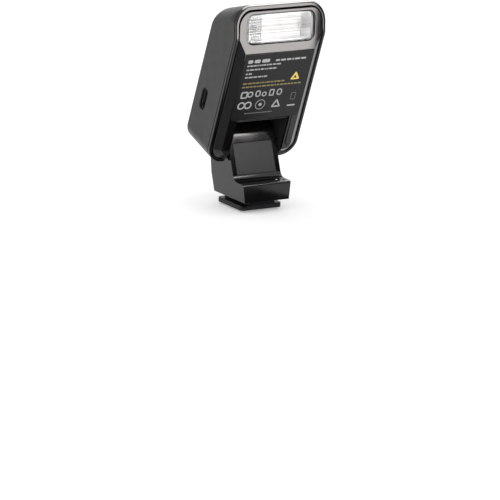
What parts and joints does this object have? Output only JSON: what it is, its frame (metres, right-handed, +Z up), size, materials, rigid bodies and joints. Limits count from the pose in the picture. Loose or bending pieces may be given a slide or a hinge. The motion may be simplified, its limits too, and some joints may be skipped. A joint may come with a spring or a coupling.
{
  "type": "speedlight flash",
  "caption": "Small folding on-camera flash: slab lamp head with an inclined lens over a label panel, hinged to a leaning neck with a square toe and a hot-shoe foot.",
  "frame": {"origin": "centre of the shoe foot's sole", "axes": "+Z up out of the camera's shoe, -Y towards the subject (the lens side), +X to the right as the subject sees the flash"},
  "size_m": [0.0406, 0.0367, 0.0839],
  "materials": {
    "satin_shell": "satin moulded plastic",
    "gloss_black": "polished black plastic",
    "matte_black": "fine matte plastic",
    "panel_grey": "satin dark grey panel",
    "label_film": "printed film, matte",
    "lens_clear": "clear moulded lens with ribs",
    "lamp_glass": "clear lamp tube",
    "reflector_silver": "bright vacuum-coated reflector",
    "steel": "plated steel",
    "brass": "gold-plated brass",
    "foot_metal": "black-plated metal foot",
    "circuit_board": "green solder mask",
    "battery_wrap": "pouch cell in grey wrap",
    "capacitor_sleeve": "shrink sleeve",
    "copper_coil": "varnished copper winding",
    "button_rubber": "soft-touch black",
    "indicator": "smoked light window"
  },
  "bodies": {
    "base": {"shoe_foot": "foot_metal", "foot_screw_1": "steel", "foot_screw_2": "steel", "foot_screw_3": "steel", "foot_screw_4": "steel", "base_plate": "matte_black", "contact_board": "circuit_board", "neck_body": "gloss_black", "toe_pin": "steel", "neck_front_panel": "panel_grey", "hinge_pin": "steel", "hinge_washer_left": "brass", "hinge_washer_right": "brass", "hinge_spring_washer": "steel", "hinge_nut": "steel"},
    "head": {"hinge_bush_left": "brass", "hinge_bush_right": "brass", "hinge_bracket": "matte_black", "head_shell": "satin_shell", "front_rim": "gloss_black", "front_fascia": "gloss_black", "label_plate": "label_film", "lens_window": "lens_clear", "reflector": "reflector_silver", "flash_tube": "lamp_glass", "tube_electrode_left": "steel", "tube_electrode_right": "steel", "main_board": "circuit_board", "usb_socket": "steel", "battery_pack": "battery_wrap", "charge_transformer": "copper_coil", "main_capacitor": "capacitor_sleeve", "trigger_coil": "copper_coil", "rear_cover": "matte_black", "rear_screw_1": "steel", "rear_screw_2": "steel", "rear_screw_3": "steel", "rear_screw_4": "steel", "mode_tact_switch": "steel", "minus_tact_switch": "steel", "plus_tact_switch": "steel", "test_tact_switch": "steel", "indicator_window": "indicator"},
    "contact_pin_1": {"contact_pin_1": "brass"},
    "contact_pin_2": {"contact_pin_2": "brass"},
    "contact_pin_3": {"contact_pin_3": "brass"},
    "contact_pin_4": {"contact_pin_4": "brass"},
    "contact_pin_5": {"contact_pin_5": "brass"},
    "mode_button": {"mode_button": "button_rubber"},
    "minus_button": {"minus_button": "button_rubber"},
    "plus_button": {"plus_button": "button_rubber"},
    "test_button": {"test_button": "button_rubber"},
    "power_switch": {"power_switch": "button_rubber"}
  },
  "joints": [
    {"name": "head_tilt", "type": "hinge", "parent": "base", "child": "head", "pos_m": [0, 0.0071, 0.02528], "axis": [1, 0, 0], "range_deg": [-32, 70]},
    {"name": "mode_press", "type": "slide", "parent": "head", "child": "mode_button", "axis": [0, -0.9397, -0.342], "range_m": [0, 0.0004], "stiffness_N_per_m": 200},
    {"name": "minus_press", "type": "slide", "parent": "head", "child": "minus_button", "axis": [0, -0.9397, -0.342], "range_m": [0, 0.0004], "stiffness_N_per_m": 200},
    {"name": "plus_press", "type": "slide", "parent": "head", "child": "plus_button", "axis": [0, -0.9397, -0.342], "range_m": [0, 0.0004], "stiffness_N_per_m": 200},
    {"name": "test_press", "type": "slide", "parent": "head", "child": "test_button", "axis": [0, -0.9397, -0.342], "range_m": [0, 0.0004], "stiffness_N_per_m": 200},
    {"name": "power_slide", "type": "slide", "parent": "head", "child": "power_switch", "axis": [1, 0, 0], "range_m": [0, 0.003]},
    {"name": "contact_press_1", "type": "slide", "parent": "base", "child": "contact_pin_1", "axis": [0, 0, 1], "range_m": [0, 0.0005], "stiffness_N_per_m": 200},
    {"name": "contact_press_2", "type": "slide", "parent": "base", "child": "contact_pin_2", "axis": [0, 0, 1], "range_m": [0, 0.0005], "stiffness_N_per_m": 200},
    {"name": "contact_press_3", "type": "slide", "parent": "base", "child": "contact_pin_3", "axis": [0, 0, 1], "range_m": [0, 0.0005], "stiffness_N_per_m": 200},
    {"name": "contact_press_4", "type": "slide", "parent": "base", "child": "contact_pin_4", "axis": [0, 0, 1], "range_m": [0, 0.0005], "stiffness_N_per_m": 200},
    {"name": "contact_press_5", "type": "slide", "parent": "base", "child": "contact_pin_5", "axis": [0, 0, 1], "range_m": [0, 0.0005], "stiffness_N_per_m": 200}
  ]
}
